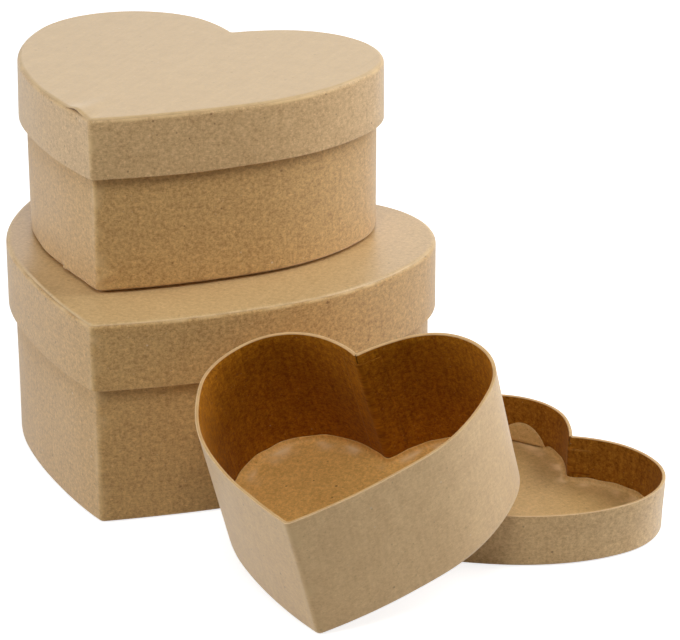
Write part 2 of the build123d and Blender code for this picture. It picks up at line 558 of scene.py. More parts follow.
class Graph:
    """A node tree that is being wired."""

    def __init__(self, tree: bpy.types.NodeTree) -> None:
        """Take the tree to wire."""
        self.tree = tree

    @classmethod
    def emptied(cls, owner: bpy.types.Material | bpy.types.World) -> "Graph":
        """Start on the nodes of a material or a world.

        Args:
            owner: What the nodes belong to.

        Returns:
            Its graph, with no nodes yet.
        """
        owner.use_nodes = True
        owner.node_tree.nodes.clear()
        return cls(owner.node_tree)

    def node(self, kind: str, **settings: object) -> bpy.types.Node:
        """A new node with some of its settings.

        Args:
            kind: Blender's name of the node type.
            settings: Properties to set on it.

        Returns:
            The node.
        """
        made = self.tree.nodes.new(kind)
        for name, value in settings.items():
            setattr(made, name, value)
        return made

    def put(self, socket: Socket, value: object) -> None:
        """Link a socket to another one, or set its value.

        Args:
            socket: The input socket.
            value: An output socket, or a number, colour or vector.
        """
        if isinstance(value, Socket):
            self.tree.links.new(value, socket)
        else:
            socket.default_value = value

    def effect(self, tree: bpy.types.NodeTree, **inputs: object) -> bpy.types.Node:
        """Place a shared effect.

        Args:
            tree: The effect's node group.
            inputs: A socket or a number for each of its inputs.

        Returns:
            The group's node.
        """
        made = self.node("ShaderNodeGroup", node_tree=tree)
        for name, value in inputs.items():
            self.put(made.inputs[name], value)
        return made

    def attribute(self, name: str, output: str) -> Socket:
        """An attribute of the mesh."""
        return self.node("ShaderNodeAttribute", attribute_name=name).outputs[output]

    def sum(self, operation: str, *terms: object, clamp: bool = False) -> Socket:
        """Work out a sum.

        Args:
            operation: Blender's name of the math node's operation.
            terms: Sockets or numbers.
            clamp: Whether the result is held from 0 to 1.

        Returns:
            The result.
        """
        made = self.node("ShaderNodeMath", operation=operation, use_clamp=clamp)
        for socket, term in zip(made.inputs, terms):
            self.put(socket, term)
        return made.outputs[0]

    def blend(self, share: object, first: object, second: object) -> Socket:
        """Mix two colours.

        Args:
            share: Share of the second colour.
            first: Socket or colour.
            second: Socket or colour.

        Returns:
            The mixed colour.
        """
        made = self.node("ShaderNodeMix", data_type="RGBA", blend_type="MIX", clamp_factor=True)
        self.put(made.inputs[MIX_SHARE], share)
        self.put(made.inputs[MIX_FIRST], first)
        self.put(made.inputs[MIX_SECOND], second)
        return made.outputs[MIX_RESULT]

    def spread(
        self, value: Socket, low: object, high: object, to_low: float = 0.0, to_high: float = 1.0
    ) -> Socket:
        """Map a value smoothly from one range to another, and hold it there.

        Args:
            value: The value.
            low: Start of its range.
            high: End of its range.
            to_low: What the start becomes.
            to_high: What the end becomes.

        Returns:
            The new value.
        """
        made = self.node("ShaderNodeMapRange", interpolation_type="SMOOTHSTEP")
        for socket, number in zip(made.inputs, (value, low, high, to_low, to_high)):
            self.put(socket, number)
        return made.outputs[0]

    def noise(self, place: Socket, noise: Noise) -> Socket:
        """Draw a noise.

        Args:
            place: Places on the paper.
            noise: The noise's settings.

        Returns:
            Its value, from 0 to 1.
        """
        made = self.node("ShaderNodeTexNoise")
        self.put(made.inputs["Vector"], place)
        for name, value in zip(("Scale", "Detail", "Roughness"), noise):
            self.put(made.inputs[name], value)
        return made.outputs[0]

    def stretched(
        self, place: Socket, scale: tuple[float, float, float], turn: float = 0.0
    ) -> Socket:
        """Turn places in the sheet's plane and scale them along each axis.

        Args:
            place: Places on the paper.
            scale: Scale along each axis.
            turn: Angle of the turn.

        Returns:
            The new places.
        """
        made = self.node("ShaderNodeMapping")
        self.put(made.inputs["Vector"], place)
        self.put(made.inputs["Rotation"], (0, 0, math.radians(turn)))
        self.put(made.inputs["Scale"], scale)
        return made.outputs[0]


def group(
    name: str, inputs: dict[str, float | None], outputs: tuple[str, ...]
) -> tuple[Graph, bpy.types.Node, bpy.types.Node]:
    """Start a shader node group.

    Args:
        name: Name of the group.
        inputs: Default of each value input, or None for a vector.
        outputs: Names of the value outputs.

    Returns:
        The graph, its input node and its output node.
    """
    tree = bpy.data.node_groups.new(name, "ShaderNodeTree")
    for label, default in inputs.items():
        kind = "NodeSocketVector" if default is None else "NodeSocketFloat"
        socket = tree.interface.new_socket(name=label, in_out="INPUT", socket_type=kind)
        if default is not None:
            socket.default_value = default
    for label in outputs:
        tree.interface.new_socket(name=label, in_out="OUTPUT", socket_type="NodeSocketFloat")
    graph = Graph(tree)
    return graph, graph.node("NodeGroupInput"), graph.node("NodeGroupOutput")


@dataclass(frozen=True)
class Fibres:
    """Grain of kraft paper: cloudy patches, upright streaks, fine pulp and single threads."""

    cloud: Noise = Noise(0.16, 4.0, 0.62)
    streak: Noise = Noise(1.0, 2.0, 0.55)
    streak_scale: tuple[float, float, float] = (0.6, 0.04, 0.2)
    pulp: Noise = Noise(0.7, 2.0, 0.9)
    thread: Noise = Noise(1.0, 1.0, 0.5)
    thread_scale: tuple[float, float, float] = (0.55, 3.6, 1.0)
    thread_turns: tuple[float, ...] = (14.0, 78.0, 137.0)
    thread_range: tuple[float, float] = (0.60, 0.74)

    def build(self) -> bpy.types.NodeTree:
        """Wire the group.

        Returns:
            The group, which puts out a value from 0 to 1 for each kind of grain.
        """
        outputs = ("Cloud", "Streak", "Pulp", "Fibre")
        graph, given, out = group("kraft_fibres", {"Place": None}, outputs)
        place = given.outputs["Place"]
        upright = graph.stretched(place, self.streak_scale)
        graph.put(out.inputs["Cloud"], graph.noise(place, self.cloud))
        graph.put(out.inputs["Streak"], graph.noise(upright, self.streak))
        graph.put(out.inputs["Pulp"], graph.noise(place, self.pulp))
        threads = 0.0
        for turn in self.thread_turns:
            drawn = graph.noise(graph.stretched(place, self.thread_scale, turn), self.thread)
            threads = graph.sum("MAXIMUM", threads, graph.spread(drawn, *self.thread_range))
        graph.put(out.inputs["Fibre"], threads)
        return graph.tree


@dataclass(frozen=True)
class Flecks:
    """Scattered specks: a share of the cells of a scatter holds one each."""

    least_size: float = 0.45
    most_size: float = 1.25
    core_share: float = 0.45

    def build(self) -> bpy.types.NodeTree:
        """Wire the group.

        Returns:
            The group, which puts out a mask of the specks.
        """
        inputs = {"Place": None, "Cell": 3.0, "Radius": 0.4, "Share": 0.2}
        graph, given, out = group("flecks", inputs, ("Mask",))
        cells = graph.node("ShaderNodeTexVoronoi", feature="F1")
        graph.put(cells.inputs["Vector"], given.outputs["Place"])
        graph.put(cells.inputs["Scale"], graph.sum("DIVIDE", 1.0, given.outputs["Cell"]))
        chance = graph.node("ShaderNodeSeparateColor")
        graph.put(chance.inputs[0], cells.outputs["Color"])
        reach = graph.sum("DIVIDE", given.outputs["Radius"], given.outputs["Cell"])
        growth = graph.spread(chance.outputs[1], 0.0, 1.0, self.least_size, self.most_size)
        size = graph.sum("MULTIPLY", reach, growth)
        core = graph.sum("MULTIPLY", size, self.core_share)
        body = graph.spread(cells.outputs["Distance"], core, size, 1.0, 0.0)
        held = graph.sum("LESS_THAN", chance.outputs[0], given.outputs["Share"])
        graph.put(out.inputs["Mask"], graph.sum("MULTIPLY", body, held))
        return graph.tree


@dataclass(frozen=True)
class RubbedEdges:
    """Wear along the edges, broken up by noise, so that it comes and goes."""

    patches: Noise = Noise(0.13, 1.0, 0.5)
    start: float = 0.78
    fade: float = 0.35

    def build(self) -> bpy.types.NodeTree:
        """Wire the group.

        Returns:
            The group, which puts out a mask of the rubbed places.
        """
        inputs = {"Place": None, "Edge": 0.0, "Cover": 0.5}
        graph, given, out = group("rubbed_edges", inputs, ("Mask",))
        patchy = graph.noise(given.outputs["Place"], self.patches)
        low = graph.sum("SUBTRACT", self.start, given.outputs["Cover"])
        kept = graph.spread(patchy, low, graph.sum("ADD", low, self.fade))
        graph.put(out.inputs["Mask"], graph.sum("MULTIPLY", given.outputs["Edge"], kept))
        return graph.tree


@dataclass(frozen=True)
class Effects:
    """The effects that all papers share, each built once as a node group."""

    fibres: bpy.types.NodeTree
    flecks: bpy.types.NodeTree
    rub: bpy.types.NodeTree


class Scatter(NamedTuple):
    """Specks of one size: width of a cell, radius, share of cells that hold one, strength."""

    cell: float
    radius: float
    share: float
    strength: float
    dark: bool


SCATTERS = (
    Scatter(1.0, 0.26, 0.35, 0.40, dark=True),
    Scatter(1.3, 0.26, 0.30, 0.40, dark=False),
    Scatter(1.7, 0.34, 0.20, 0.55, dark=True),
    Scatter(4.2, 0.52, 0.30, 1.00, dark=True),
    Scatter(6.0, 0.45, 0.30, 1.00, dark=False),
)


@dataclass(frozen=True)
class KraftFinish:
    """One kind of kraft paper or board: its colours, and how strongly each effect shows."""

    dark: Colour
    light: Colour
    rubbed: Colour = (0.74, 0.51, 0.24)
    cut: Colour = (0.82, 0.56, 0.28)
    fleck_dark: Colour = (0.20, 0.085, 0.022)
    fleck_light: Colour = (0.80, 0.66, 0.46)
    middle_tone: float = 0.5
    cloud: float = 0.38
    streak: float = 0.22
    pulp: float = 1.55
    fibre: float = 0.22
    dark_flecks: float = 0.7
    light_flecks: float = 0.6
    wear: float = 0.4
    cut_cover: float = 0.35
    roughness: float = 0.5
    roughness_range: float = 0.25
    specular: float = 0.25
    sheen: float = 0.5
    sheen_roughness: float = 0.5
    bump: float = 0.25
    bump_depth: float = 0.06
    fibre_relief: float = 0.5

    def ground(self, graph: Graph, grain: bpy.types.Node) -> Socket:
        """Colour the sheet from its dark to its light, as its grain goes.

        Args:
            graph: The material's graph.
            grain: Node of the fibres.

        Returns:
            The colour.
        """
        tone = self.middle_tone
        strengths = (self.cloud, self.streak, self.pulp, self.fibre)
        for name, strength in zip(("Cloud", "Streak", "Pulp", "Fibre"), strengths):
            centred = graph.sum("SUBTRACT", grain.outputs[name], self.middle_tone)
            tone = graph.sum("ADD", tone, graph.sum("MULTIPLY", centred, strength))
        share = graph.sum("ADD", tone, 0.0, clamp=True)
        return graph.blend(share, (*self.dark, 1), (*self.light, 1))

    def flecked(self, graph: Graph, effects: Effects, place: Socket, colour: Socket) -> Socket:
        """Strew a colour with dark and light specks.

        Args:
            graph: The material's graph.
            effects: The shared effects.
            place: Places on the paper.
            colour: The colour under the specks.

        Returns:
            The new colour.
        """
        for cell, radius, share, strength, dark in SCATTERS:
            specks = graph.effect(effects.flecks, Place=place, Cell=cell, Radius=radius, Share=share)
            shown = strength * (self.dark_flecks if dark else self.light_flecks)
            stain = self.fleck_dark if dark else self.fleck_light
            mask = graph.sum("MULTIPLY", specks.outputs["Mask"], shown)
            colour = graph.blend(mask, colour, (*stain, 1))
        return colour

    def material(self, name: str, effects: Effects) -> bpy.types.Material:
        """Wire the material.

        Args:
            name: Name of the material.
            effects: The shared effects.

        Returns:
            The material, with its Principled shader.
        """
        made = bpy.data.materials.new(name)
        graph = Graph.emptied(made)
        shader = graph.node("ShaderNodeBsdfPrincipled")
        output = graph.node("ShaderNodeOutputMaterial")
        graph.put(output.inputs["Surface"], shader.outputs[0])
        place = graph.attribute(PAPER_MAP, "Vector")
        wear = graph.attribute(WEAR_MASK, "Fac")
        raw = graph.attribute(RAW_MASK, "Fac")
        grain = graph.effect(effects.fibres, Place=place)
        colour = self.flecked(graph, effects, place, self.ground(graph, grain))
        rub = graph.effect(effects.rub, Place=place, Edge=wear, Cover=self.wear)
        colour = graph.blend(rub.outputs["Mask"], colour, (*self.rubbed, 1))
        cut_tone = graph.blend(self.cut_cover, (*self.cut, 1), colour)
        graph.put(shader.inputs["Base Color"], graph.blend(raw, colour, cut_tone))
        graph.put(shader.inputs["Specular IOR Level"], self.specular)
        graph.put(shader.inputs["Sheen Weight"], self.sheen)
        graph.put(shader.inputs["Sheen Roughness"], self.sheen_roughness)
        pulp = grain.outputs["Pulp"]
        least = self.roughness - self.roughness_range / 2
        matt = graph.sum("MULTIPLY_ADD", pulp, self.roughness_range, least)
        graph.put(shader.inputs["Roughness"], matt)
        threads = graph.sum("MULTIPLY", grain.outputs["Fibre"], self.fibre_relief)
        relief = graph.node("ShaderNodeBump")
        graph.put(relief.inputs["Strength"], self.bump)
        graph.put(relief.inputs["Distance"], self.bump_depth * MM)
        graph.put(relief.inputs["Height"], graph.sum("ADD", pulp, threads))
        graph.put(shader.inputs["Normal"], relief.outputs[0])
        return made


GOLDEN = KraftFinish(dark=(0.368, 0.193, 0.054), light=(0.872, 0.569, 0.227))
PALE = KraftFinish(dark=(0.404, 0.227, 0.081), light=(0.939, 0.669, 0.341), pulp=1.25)
SMOOTH = KraftFinish(
    dark=(0.549, 0.323, 0.138),
    light=(0.949, 0.683, 0.338),
    cloud=0.49,
    streak=0.28,
    pulp=1.0,
    fibre=0.2,
    dark_flecks=0.5,
    light_flecks=0.4,
)
FACE = KraftFinish(
    dark=(0.449, 0.276, 0.110),
    light=(0.764, 0.547, 0.273),
    pulp=0.55,
    fibre=0.13,
    dark_flecks=0.3,
    light_flecks=0.25,
    roughness=0.4,
    specular=0.7,
    sheen=0.0,
)
# Painted shade: the inside of the board strip gets a much darker, redder copy of the kraft colour,
# standing in for the shade and warm bounce light inside the boxes
INSIDE = KraftFinish(
    dark=(0.200, 0.060, 0.0012),
    light=(0.560, 0.225, 0.0115),
    cloud=0.75,
    streak=0.5,
    pulp=1.9,
    light_flecks=0.25,
    specular=0.1,
    sheen=0.02,
)
# Painted light: the lining is made brighter than the paper is, standing in for light that reaches
# the small base's floor
LINED = KraftFinish(
    dark=(0.70, 0.390, 0.105),
    light=(0.98, 0.580, 0.175),
    rubbed=(0.95, 0.68, 0.36),
    cloud=1.0,
    pulp=3.0,
    specular=0.2,
    sheen=0.05,
)

FINISHES = {
    Paper.GOLDEN: GOLDEN,
    Paper.PALE: PALE,
    Paper.SMOOTH: SMOOTH,
    Paper.MOTTLED: replace(SMOOTH, pulp=1.9, dark_flecks=0.7),
    Paper.FACE: FACE,
    Paper.ROUGH_FACE: replace(FACE, pulp=1.5, dark_flecks=0.5),
    Paper.INSIDE: INSIDE,
    # Painted shade: a slightly darker copy of the inside board, for the small lid
    Paper.DEEPER_SHADED_INSIDE: replace(INSIDE, dark=(0.175, 0.058, 0.0016), light=(0.497, 0.217, 0.027)),
    Paper.LINED: LINED,
    # Painted shade: the same lining, darker and duller, for the small lid's floor, which lies in
    # shade
    Paper.SHADED_LINING: replace(
        LINED, dark=(0.454, 0.275, 0.091), light=(0.806, 0.530, 0.232), cloud=0.6, pulp=1.3
    ),
    Paper.FILLING: KraftFinish(dark=(0.44, 0.24, 0.09), light=(0.68, 0.41, 0.18)),
}


# Trays


@dataclass(frozen=True)
class Stock:
    """Thicknesses, levels and small radii that all trays share."""

    paper: float = 0.25
    glue: float = 0.05
    strip: float = 1.2
    panel: float = 1.6
    edge_radius: float = 1.4
    grooved_edge_radius: float = 0.9
    groove_inset: float = 2.2
    mouth_radius: float = 0.2
    mouth_taper: float = 0.4
    mouth_reach: float = 2.5
    mask_edge: float = 0.06
    paper_rounding: float = 0.12
    feather: float = 0.07
    feather_width: float = 1.3
    cover_inset: float = 0.55
    turn_in: float = 2.15
    lean_reach: float = 16.0
    shift_reach: float = 28.0
    lip: float = 1.6
    lip_edge: float = 0.08
    lip_unevenness: float = 0.15
    lip_harmonic: int = 40
    tape: float = 0.06
    tape_reach: float = 8.0
    tape_mouth: float = 3.0
    strip_gap: float = 0.15
    arc_steps: int = 6
    cover_steps: int = 8
    disc_rows: int = 8
    disc_middle: float = 0.35
    disc_fade: float = 8.0
    sheet_distance: float = 100.0

    @property
    def strip_inset(self) -> float:
        """Outside of the board strip."""
        return self.paper + self.glue / 2

    @property
    def strip_inside(self) -> float:
        """Inside of the board strip."""
        return self.paper + self.glue + self.strip

    @property
    def lining_inset(self) -> float:
        """Outside of the lining."""
        return self.strip_inside + self.glue / 2

    @property
    def lining_inside(self) -> float:
        """Inside of the lining."""
        return self.strip_inside + self.glue + self.paper

    @property
    def panel_level(self) -> float:
        """Outer face of the panel, over the cover and the turned-in wrap."""
        return 2 * self.paper

    @property
    def liner_level(self) -> float:
        """Underside of the liner."""
        return self.panel_level + self.panel

    @property
    def stack(self) -> float:
        """Whole thickness of cover, turn-in, panel and liner."""
        return self.liner_level + self.paper


@dataclass(frozen=True)
class EdgeMarks:
    """How rubbed and how raw edges are, as pairs of shares, and how the rubbing fades."""

    wrap_rim: tuple[float, float] = (0.8, 0.6)
    wrap_back: tuple[float, float] = (0.5, 0.8)
    strip_mouth: tuple[float, float] = (0.6, 1.0)
    lip: tuple[float, float] = (0.8, 0.5)
    flap: tuple[float, float] = (0.6, 0.5)
    panel_edge: tuple[float, float] = (0.0, 1.0)
    cover_wear: float = 0.7
    cover_reach: float = 0.5
    lip_fade: int = 3
    fold_reach: float = 2.2


STOCK = Stock()
EDGE_MARKS = EdgeMarks()


@dataclass
class Tray:
    """A base or a lid: board strip, panel, wrap, cover, liner and tape, with its panel down."""

    body: str
    role: Role
    outline: HeartOutline
    height: float
    place: Matrix
    seed: int
    swell: float = 0.11
    mouth_wobble: float = 0.12
    row_spacing: float = 2.2
    skin: Paper = Paper.PALE
    face: Paper = Paper.FACE
    inside: Paper = Paper.INSIDE
    lining: Paper = Paper.LINED
    groove: float = 0.0
    point_shift: float = 0.0
    cleft_lean: float = 0.0
    dents: tuple[Dent, ...] = ()
    inner_dents: tuple[Dent, ...] = ()
    lip_bulges: tuple[Dent, ...] = ()
    sags: tuple[Dent, ...] = ()
    lifts: tuple[Lift, ...] = ()
    flap: Flap | None = None
    stock: Stock = STOCK
    marks: EdgeMarks = EDGE_MARKS

    @property
    def edge_radius(self) -> float:
        """Radius of the fold between the wall and the outer face."""
        return self.stock.grooved_edge_radius if self.groove else self.stock.edge_radius

    @property
    def foot(self) -> float:
        """Underside of the folded wrap, above the groove that some trays stand on."""
        return self.stock.paper + self.groove

    @property
    def paper_shift(self) -> float:
        """Depth in the grain at which this tray's sheets are cut, so that no two match."""
        return self.stock.sheet_distance * self.seed

    def inner_inset(self, height: float) -> float:
        """Inside of the strip, which is pressed thinner towards the mouth."""
        near = float(smooth_step(self.height - self.stock.mouth_reach, self.height, height))
        return self.stock.strip_inside - self.stock.mouth_taper * near

    def shift(self, height: float, dents: tuple[Dent, ...]) -> np.ndarray:
        """Way that the walls stand outwards, all round.

        Args:
            height: Height in the tray.
            dents: Dents of the wall.

        Returns:
            Outward shift at each point of the outline.
        """
        run = self.outline.ring.run
        wave = Swell(self.swell, self.seed).push(run, height, self.outline.length)
        return wave + sum(dent.push(run, height) for dent in dents)

    def mouth(self, height: float) -> np.ndarray:
        """Way that the walls stand higher, which grows towards the uneven mouth.

        Args:
            height: Height in the tray.

        Returns:
            Upward shift at each point of the outline.
        """
        run = self.outline.ring.run
        wave = Swell(self.mouth_wobble, self.seed + 1).push(run, 0.0, self.outline.length)
        wave = wave - sum(sag.push(run, 0.0) for sag in self.sags)
        return wave * (height / self.height) ** 2

    def sideways(self, height: float) -> np.ndarray:
        """Way that folds lie off the middle: the point, and a cleft that leans.

        Args:
            height: Height in the tray.

        Returns:
            Shift to the right at each point of the outline.
        """
        run = self.outline.ring.run
        away = self.outline.half_length - np.abs(run)
        lean = self.cleft_lean * (1 - height / self.height)
        cleft = lean * np.exp(-((away / self.stock.lean_reach) ** 2))
        return cleft + self.point_shift * np.exp(-((run / self.stock.shift_reach) ** 2))

    def on_paper(self, along: np.ndarray, across: np.ndarray | float) -> np.ndarray:
        """Places on the sheet that a piece is cut from."""
        return np.column_stack(np.broadcast_arrays(along, across, self.paper_shift))

    def rows(self, profile: list[Spot], dents: tuple[Dent, ...] = ()) -> Rows:
        """Sweep a profile round the outline.

        Args:
            profile: A spot for each row.
            dents: Dents of the wall.

        Returns:
            Rows of points.
        """
        ring = self.outline.ring
        fold = np.exp(-((ring.run / self.marks.fold_reach) ** 2))
        swept = []
        way = 0.0
        last = profile[0]
        for spot in profile:
            way += math.hypot(spot.inset - last.inset, spot.height - last.height)
            last = spot
            plan = ring.inset(spot.inset - self.shift(spot.height, dents))
            plan[:, 0] += self.sideways(spot.height)
            points = np.column_stack([plan, spot.height + self.mouth(spot.height)])
            wear, raw = np.maximum(spot.wear, fold), np.full_like(fold, spot.raw)
            swept.append((points, self.on_paper(ring.run, way), wear, raw))
        return Rows(*(np.array(layer) for layer in zip(*swept)))

    def uprights(self, low: float, high: float) -> list[float]:
        """Heights of rows between two levels, ends left out."""
        count = max(2, round((high - low) / self.row_spacing))
        return np.linspace(low, high, count + 1)[1:-1].tolist()

    def bend(
        self,
        inset: float,
        height: float,
        radius: float,
        start: float,
        end: float,
        marks: tuple[float, float] = (0.0, 0.0),
    ) -> list[Spot]:
        """Spots of a rounded corner of a profile.

        Args:
            inset: Inset of the corner's centre.
            height: Height of the corner's centre.
            radius: Its radius.
            start: Angle of the first spot: 0 is outwards, 90 is up.
            end: Angle of the last spot.
            marks: How rubbed and how raw the corner is.

        Returns:
            The spots, in order.
        """
        angles = np.radians(np.linspace(start, end, self.stock.arc_steps + 1))
        return [
            Spot(inset - radius * math.cos(angle), height + radius * math.sin(angle), *marks)
            for angle in angles
        ]

    def disc_rows(self, edge: Rows, rising: bool) -> Rows:
        """Rows that run from a row to the middle of the heart.

        Args:
            edge: Rows whose last one is the disc's edge.
            rising: Whether the rows are listed from the middle outwards.

        Returns:
            The new rows, without the edge.
        """
        count = self.stock.disc_rows
        shares = 1 - np.arange(1, count + 1) / (count + self.stock.disc_middle)
        ring = edge.points[-1]
        level = np.median(ring[:, 2])
        rise = ring[:, 2] - level
        steps = zip(shares, shares**self.stock.disc_fade)
        points = np.stack(
            [np.column_stack([ring[:, :2] * share, level + rise * fade]) for share, fade in steps]
        )
        if rising:
            points = points[::-1]
        paper = points.copy()
        paper[..., 2] = self.paper_shift
        nothing = np.zeros(points.shape[:2])
        return Rows(points, paper, nothing, nothing)

    def add_disc(self, surface: Surface, band: Rows) -> None:
        """Gather a closed sheet: its underside from the middle, its edge and its upper side.

        Args:
            surface: Where the sheet is gathered.
            band: Rows round the edge, from the underside to the upper side.
        """
        paper = band.points.copy()
        paper[..., 2] += self.paper_shift
        under = self.disc_rows(band.first, rising=True)
        over = self.disc_rows(band, rising=False)
        rows = Rows.stacked(under, replace(band, paper=paper), over)
        count, size = rows.wear.shape
        start = surface.add_rows(rows, around=True, section=False)
        surface.add_pole(start, size, last=False)
        surface.add_pole(start + (count - 1) * size, size, last=True)

    def finish_piece(
        self, surface: Surface, ending: str, material: bpy.types.Material
    ) -> bpy.types.Object:
        """Make a piece's object, put it in place and let it ride on its body.

        Args:
            surface: The gathered piece.
            ending: Ending of the name of the node that it replaces.
            material: The finish.

        Returns:
            The piece.
        """
        node = f"{self.body}_{ending}"
        name = f"{node}_dressed"
        mesh = surface.mesh(name)
        mesh.transform(self.place)
        mesh.materials.append(material)
        piece = bpy.data.objects.new(name, mesh)
        bpy.context.scene.collection.objects.link(piece)
        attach(piece, self.body)
        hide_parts(node)
        return piece

    def build_wall(self, material: bpy.types.Material) -> bpy.types.Object:
        """Build the board strip, folded at the point, with its two ends meeting at the cleft.

        Args:
            material: Its finish.

        Returns:
            The piece.
        """
        stock, marks = self.stock, self.marks.strip_mouth
        fold, top, rounding = self.edge_radius, self.height, stock.mouth_radius
        outside, mouth = stock.strip_inset, self.inner_inset(self.height)
        covered = max(fold - stock.strip_inside, 0) / (fold - outside)
        start = -math.degrees(math.acos(min(covered, 1)))
        outer = self.bend(fold, self.foot + fold, fold - outside, start, 0)
        foot = outer[0].height
        outer += [Spot(outside, height) for height in self.uprights(outer[-1].height, top)]
        outer += [Spot(outside, top, *marks), Spot((outside + mouth) / 2, top, *marks)]
        outer += self.bend(mouth - rounding, top - rounding, rounding, 90, 180, marks)
        brim = top - rounding
        heights = [brim - stock.mask_edge, *self.uprights(foot, brim)[::-1], foot]
        inner = [Spot(self.inner_inset(height), height) for height in heights]
        rows = Rows.stacked(
            self.rows(outer, self.dents), self.rows(inner, self.dents + self.inner_dents)
        )
        rows.points[:, 0, 0] -= stock.strip_gap
        rows.points[:, -1, 0] += stock.strip_gap
        surface = Surface()
        surface.add_rows(rows, around=False, section=True)
        return self.finish_piece(surface, self.role.wall, material)

    def build_wrap(self, material: bpy.types.Material) -> bpy.types.Object:
        """Build the paper skin, folded over the edge and turned in under the cover.

        Args:
            material: Its finish.

        Returns:
            The piece.
        """
        stock = self.stock
        radius, thickness, level = self.edge_radius, stock.strip_inset, stock.paper
        corner, brim = self.foot + radius, self.height - stock.paper_rounding
        turn = stock.groove_inset if self.groove else stock.turn_in
        outer = [Spot(turn + thickness, level), Spot(turn, level)]
        if self.groove:
            outer.append(Spot(turn, self.foot))
        for step, spot in enumerate(self.bend(radius, corner, radius, -90, 0)):
            outer.append(spot._replace(wear=math.sin(math.pi * step / stock.arc_steps)))
        outer += [Spot(0.0, height) for height in self.uprights(corner, brim)]
        outer.append(Spot(0.0, brim - stock.mask_edge))
        rounding = stock.paper_rounding
        outer += self.bend(rounding, brim, rounding, 0, 90, self.marks.wrap_rim)
        inner = [Spot(thickness, self.height, *self.marks.wrap_back)]
        inner.append(Spot(thickness, (self.height + corner) / 2))
        inner += self.bend(radius, corner, radius - thickness, 0, -90)
        inner.append(Spot(turn + thickness, self.foot + thickness))
        surface = Surface()
        surface.add_rows(self.rows(outer + inner, self.dents), around=False, section=True)
        return self.finish_piece(surface, "wrap", material)

    def build_cover(self, material: bpy.types.Material) -> bpy.types.Object:
        """Build the paper heart over the turned-in wrap, thinned at its edge.

        Args:
            material: Its finish.

        Returns:
            The piece.
        """
        stock, marks, radius = self.stock, self.marks, self.edge_radius
        edge = stock.groove_inset + stock.glue if self.groove else stock.cover_inset
        flat = edge + stock.feather_width if self.groove else stock.turn_in
        insets = np.linspace(flat, edge, stock.cover_steps + 1)
        round_fold = np.sqrt(radius**2 - np.maximum(radius - insets, 0) ** 2)
        levels = stock.paper + radius - round_fold
        full = smooth_step(edge, edge + stock.feather_width, insets)
        lower = levels - (stock.feather + (stock.paper - stock.feather) * full)
        wear = marks.cover_wear * smooth_step(radius + marks.cover_reach, edge, insets)
        profile = [Spot(*values) for values in zip(insets, lower, wear)]
        profile += [Spot(*values) for values in zip(insets[::-1], levels[::-1])]
        band = self.rows(profile).closed
        run = self.outline.ring.run[:-1]
        for row, spot in enumerate(profile):
            band.points[row, :, 2] -= sum(lift.stand(run, spot.inset - edge) for lift in self.lifts)
        surface = Surface()
        self.add_disc(surface, band)
        return self.finish_piece(surface, "cover", material)

    def build_liner(self, material: bpy.types.Material) -> bpy.types.Object:
        """Build the paper heart inside, with an uneven lip that curves up the wall.

        Args:
            material: Its finish.

        Returns:
            The piece.
        """
        stock, marks, ring = self.stock, self.marks, self.outline.ring
        lip, brim = stock.lip, stock.stack + stock.lip
        outside, inside = stock.lining_inset, stock.lining_inside
        profile = self.bend(outside + lip, stock.liner_level + lip, lip, -90, 0)
        profile.append(Spot(outside + stock.lip_edge, brim, *marks.lip))
        for step, spot in enumerate(self.bend(inside + lip, brim, lip, 0, -90)):
            profile.append(spot._replace(wear=(step / stock.arc_steps) ** marks.lip_fade))
        band = self.rows(profile).closed
        run = ring.run[:-1]
        bulge = -sum((dent.push(run, 0.0) for dent in self.lip_bulges), np.zeros_like(run))
        sunk = np.clip((brim - band.points[..., 2]) / lip, 0, 1)
        band.points[..., :2] -= ring.outward[:-1] * (sunk * bulge)[..., None]
        waves = Swell(stock.lip_unevenness, self.seed + 2, most_harmonic=stock.lip_harmonic)
        uneven = waves.push(run, 0.0, self.outline.length)
        rise = np.clip(band.points[..., 2] - stock.stack, 0, None)
        kept = 1 - self.flap.cover(run) if self.flap else 1.0
        band.points[..., 2] += rise * (uneven / lip) * kept - rise * (1 - kept)
        surface = Surface()
        self.add_disc(surface, band)
        if self.flap:
            surface.add_rows(self.flap_rows(self.flap), around=False, section=True)
        return self.finish_piece(surface, "liner", material)

    def flap_rows(self, flap: Flap) -> Rows:
        """Rows of a loose flap: up its back, which faces the wall, and down its front.

        Args:
            flap: The flap, between two places of the outline.

        Returns:
            Rows of points from its straight foot to the arc where it meets the wall.
        """
        stock, ring = self.stock, self.outline.ring
        keep = np.abs(ring.run - flap.run) < flap.half_length
        wall, run = ring.inset(stock.lining_inset)[keep], ring.run[keep]
        ends = wall[-1] - wall[0]
        chord = ends / np.linalg.norm(ends)
        foot = wall[0] + ((wall - wall[0]) @ chord)[:, None] * chord
        depth = np.linalg.norm(wall - foot, axis=1)
        middle = int(np.argmax(depth))
        lean = flap.rise / depth[middle]
        inward = (foot - wall)[middle] / depth[middle]
        normal = np.array([*(inward * lean), 1.0]) / math.hypot(lean, 1.0)
        low = stock.stack + flap.gap
        shares = np.linspace(0, 1, flap.rows)
        front = np.stack(
            [
                np.column_stack([foot + (wall - foot) * share, low + depth * lean * share])
                for share in shares
            ]
        )
        points = np.concatenate([front - normal * stock.paper, front[::-1]])
        ways = np.concatenate([shares, shares[::-1]])
        paper = np.stack([self.on_paper(run, depth * lean * way) for way in ways])
        edge = np.where(ways == 0, 1.0, 0.0)[:, None] * np.ones_like(run)
        wear, raw = self.marks.flap
        return Rows(points, paper, wear * edge, raw * edge)

